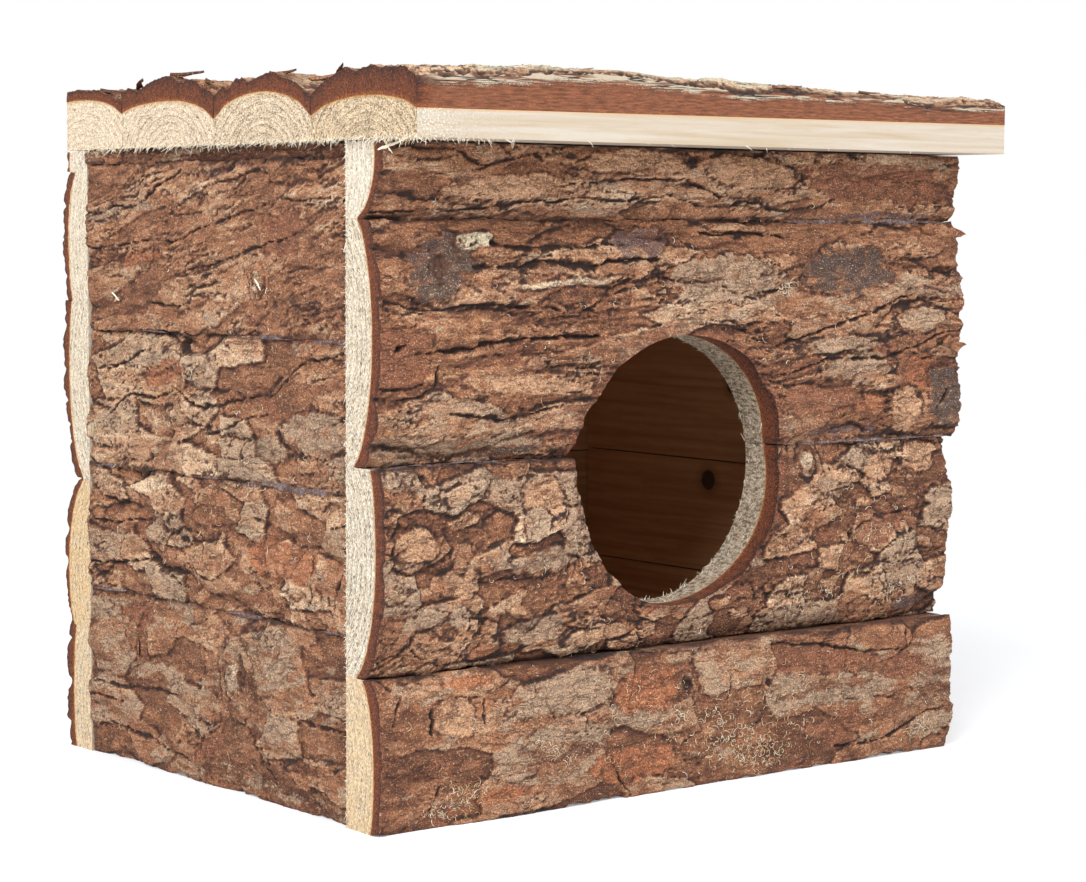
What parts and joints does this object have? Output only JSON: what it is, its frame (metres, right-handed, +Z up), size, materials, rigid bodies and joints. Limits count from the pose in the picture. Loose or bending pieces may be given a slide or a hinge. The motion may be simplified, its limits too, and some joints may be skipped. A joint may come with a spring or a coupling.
{
  "type": "hamster house",
  "caption": "Free-standing rodent house of bark-covered half-round slabs, with a flat roof, an open bottom and a round entrance in its front wall",
  "frame": {"origin": "centre of the overall length and depth, on the surface that the house stands on", "axes": "+X along the front wall, to the right as seen from the front; -Y is the way the entrance faces; +Z up"},
  "size_m": [0.155, 0.1326, 0.1443],
  "materials": {
    "wood": "raw sawn softwood, pale cream, matte",
    "bark": "raw plated bark, brown and grey, rough",
    "glue": "dried glue, greyish, glossy"
  },
  "bodies": {
    "root": {"front_slab_1_wood": "wood", "front_slab_1_bark": "bark", "front_slab_2_wood": "wood", "front_slab_2_bark": "bark", "front_slab_3_wood": "wood", "front_slab_3_bark": "bark", "front_slab_4_wood": "wood", "front_slab_4_bark": "bark", "front_glue_bead_1": "glue", "front_glue_bead_2": "glue", "back_slab_1_wood": "wood", "back_slab_1_bark": "bark", "back_slab_2_wood": "wood", "back_slab_2_bark": "bark", "back_slab_3_wood": "wood", "back_slab_3_bark": "bark", "back_slab_4_wood": "wood", "back_slab_4_bark": "bark", "back_slab_5_wood": "wood", "back_slab_5_bark": "bark", "left_slab_1_wood": "wood", "left_slab_1_bark": "bark", "left_slab_2_wood": "wood", "left_slab_2_bark": "bark", "left_slab_3_wood": "wood", "left_slab_3_bark": "bark", "left_slab_4_wood": "wood", "left_slab_4_bark": "bark", "left_slab_5_wood": "wood", "left_slab_5_bark": "bark", "left_glue_bead_1": "glue", "left_glue_bead_2": "glue", "left_glue_bead_3": "glue", "right_slab_1_wood": "wood", "right_slab_1_bark": "bark", "right_slab_2_wood": "wood", "right_slab_2_bark": "bark", "right_slab_3_wood": "wood", "right_slab_3_bark": "bark", "right_slab_4_wood": "wood", "right_slab_4_bark": "bark", "roof_slab_1_wood": "wood", "roof_slab_1_bark": "bark", "roof_slab_2_wood": "wood", "roof_slab_2_bark": "bark", "roof_slab_3_wood": "wood", "roof_slab_3_bark": "bark", "roof_slab_4_wood": "wood", "roof_slab_4_bark": "bark"}
  },
  "joints": []
}
